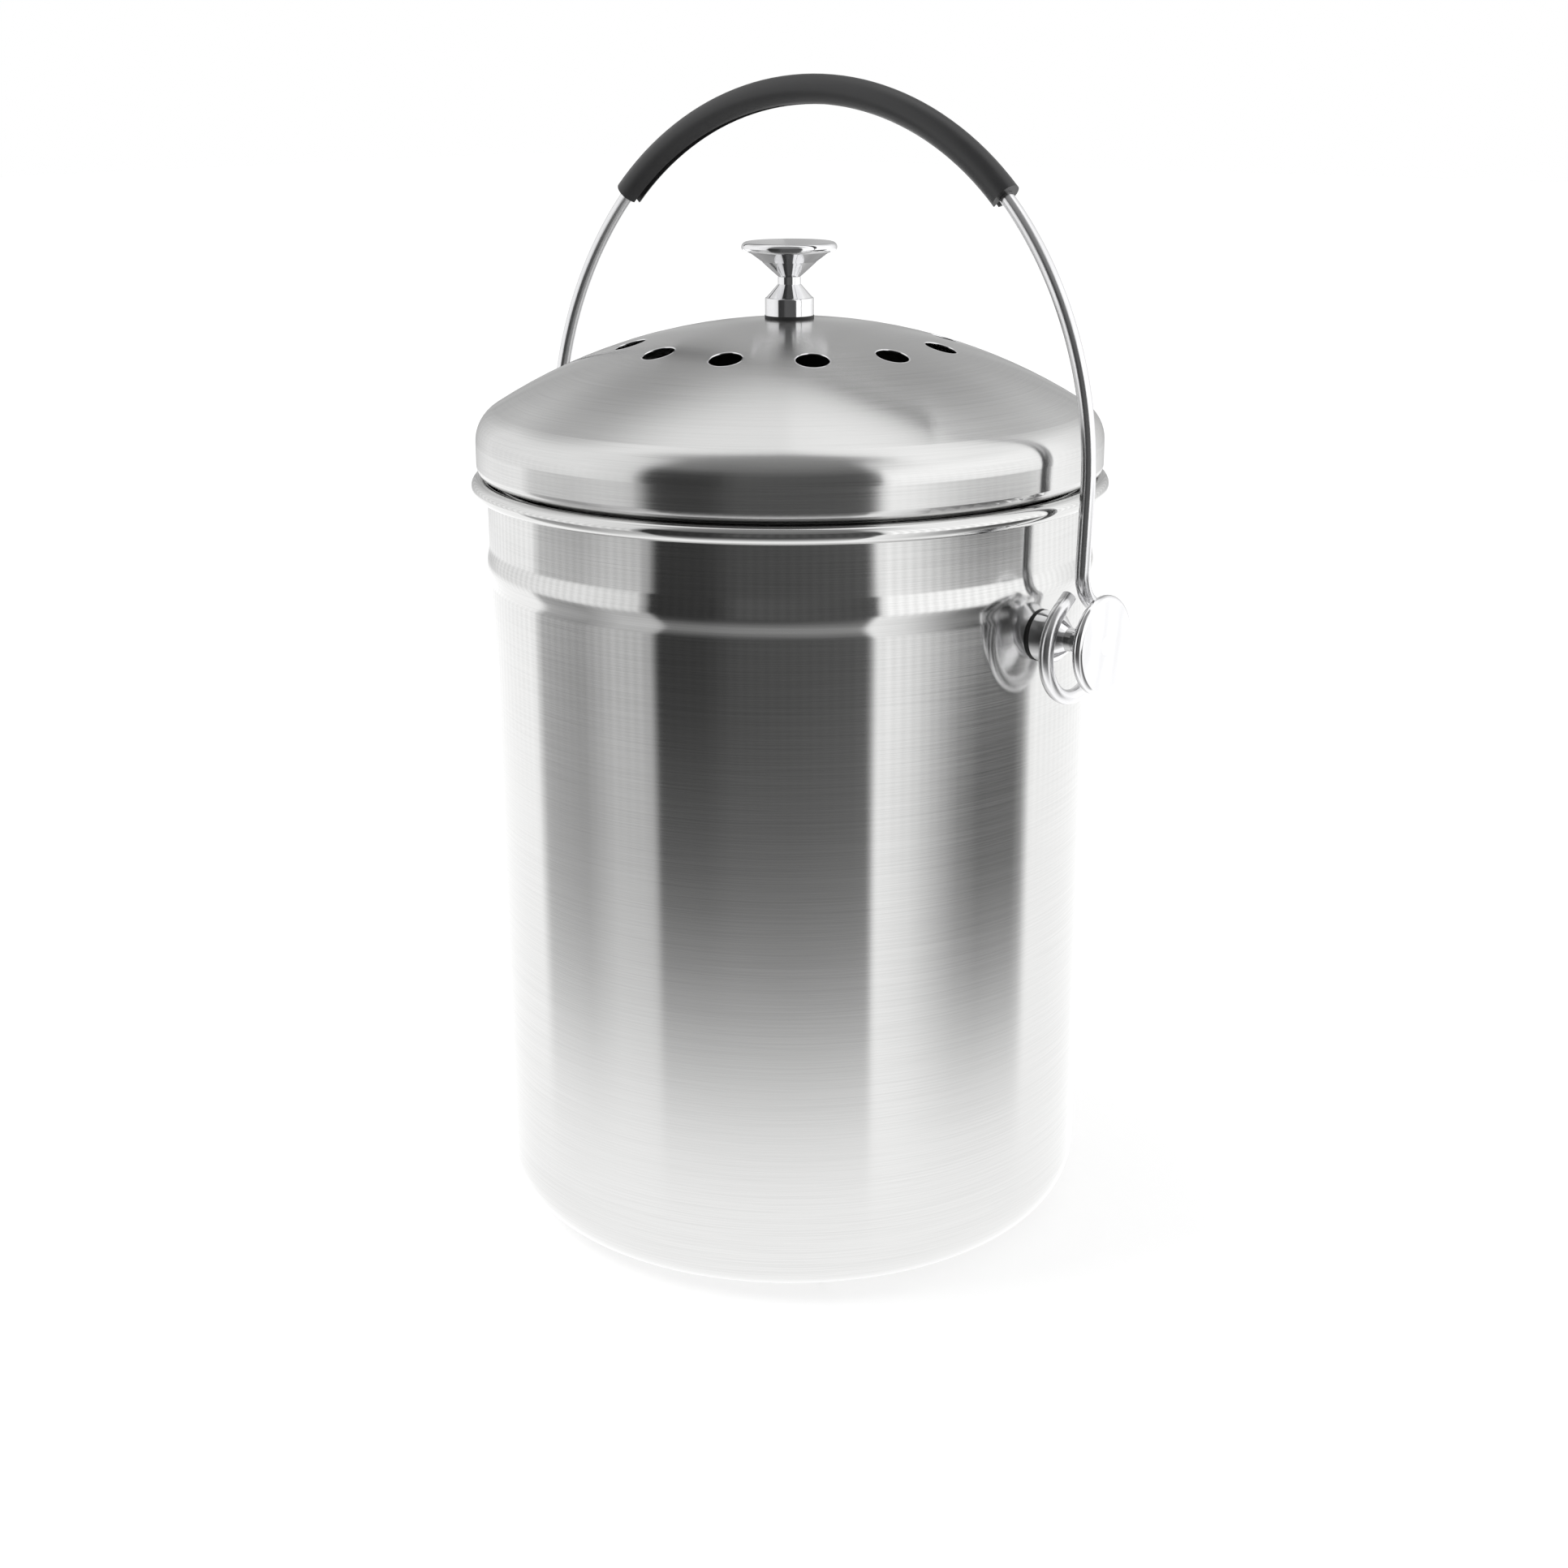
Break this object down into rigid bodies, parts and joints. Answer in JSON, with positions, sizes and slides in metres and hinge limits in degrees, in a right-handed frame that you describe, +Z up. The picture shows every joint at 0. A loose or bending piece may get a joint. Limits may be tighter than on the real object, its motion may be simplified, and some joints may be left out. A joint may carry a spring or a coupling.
{
  "type": "compost caddy",
  "caption": "Steel kitchen compost pail with rolled rim, domed lift-off lid with vent holes and pull knob, charcoal filter, and wire bail handle with rubber grip.",
  "frame": {"origin": "centre of the base, on the plane that the pail stands on", "axes": "+Z up the pail's axis to the lid knob; +X to one wall stud, along the handle's pivot line; +Y behind, the side that the upright handle leans to"},
  "size_m": [0.213, 0.18, 0.3263],
  "materials": {
    "pail_steel": "brushed",
    "lid_steel": "brushed",
    "polished_steel": "polished",
    "screw_steel": "polished",
    "gasket_rubber": "matte",
    "grip_rubber": "satin",
    "filter_plastic": "matte",
    "charcoal_foam": "porous"
  },
  "bodies": {
    "pail": {"pail_shell": "pail_steel", "pivot_knob_right": "polished_steel", "pivot_knob_left": "polished_steel", "pivot_gasket_right": "gasket_rubber", "pivot_gasket_left": "gasket_rubber", "pivot_washer_right": "screw_steel", "pivot_washer_left": "screw_steel", "pivot_screw_right": "screw_steel", "pivot_screw_left": "screw_steel"},
    "handle": {"handle_wire": "polished_steel", "handle_grip": "grip_rubber"},
    "lid": {"lid_shell": "lid_steel", "lid_skirt": "lid_steel", "lid_knob": "polished_steel", "lid_knob_gasket": "gasket_rubber", "lid_knob_washer": "screw_steel", "lid_knob_screw": "screw_steel"},
    "filter": {"filter_retainer": "filter_plastic", "charcoal_filter": "charcoal_foam"}
  },
  "joints": [
    {"name": "handle_pivot", "type": "hinge", "parent": "pail", "child": "handle", "pos_m": [0, 0, 0.1825], "axis": [1, 0, 0], "range_deg": [-134.8, 144]},
    {"name": "lid_lift", "type": "slide", "parent": "pail", "child": "lid", "axis": [0, 0, 1], "range_m": [0, 0.02]},
    {"name": "filter_pull", "type": "slide", "parent": "lid", "child": "filter", "axis": [0, 0, 1], "range_m": [-0.018, 0]}
  ]
}
